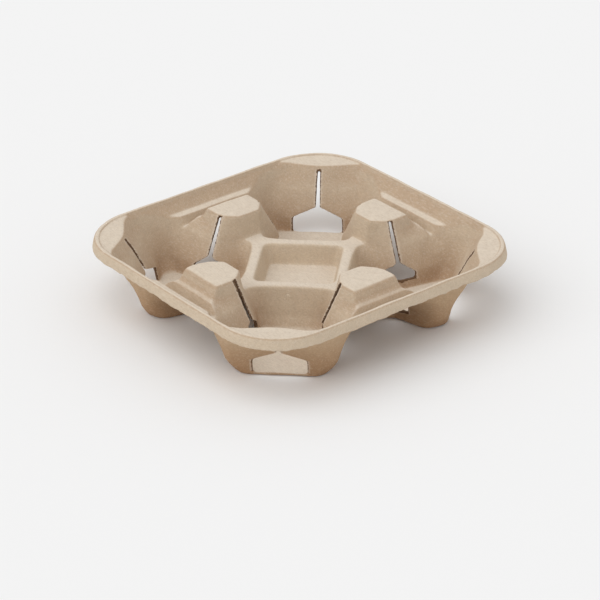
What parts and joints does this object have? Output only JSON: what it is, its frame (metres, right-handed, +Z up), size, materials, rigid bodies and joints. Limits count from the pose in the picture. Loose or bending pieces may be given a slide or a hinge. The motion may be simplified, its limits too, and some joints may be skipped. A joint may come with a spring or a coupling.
{
  "type": "cardboard cup carrier",
  "caption": "Square moulded-pulp tray that carries cups in round pockets with slit flaps, with hollow posts between them and a small well in the middle.",
  "frame": {"origin": "centre of the tray's square outline, on the plane that it stands on", "axes": "+Z up through the open pockets; X and Y square to the straight sides of the rim"},
  "size_m": [0.215, 0.215, 0.0455],
  "materials": {
    "pulp": "matte, fibrous, unbleached"
  },
  "bodies": {
    "root": {"carrier": "pulp"}
  },
  "joints": []
}
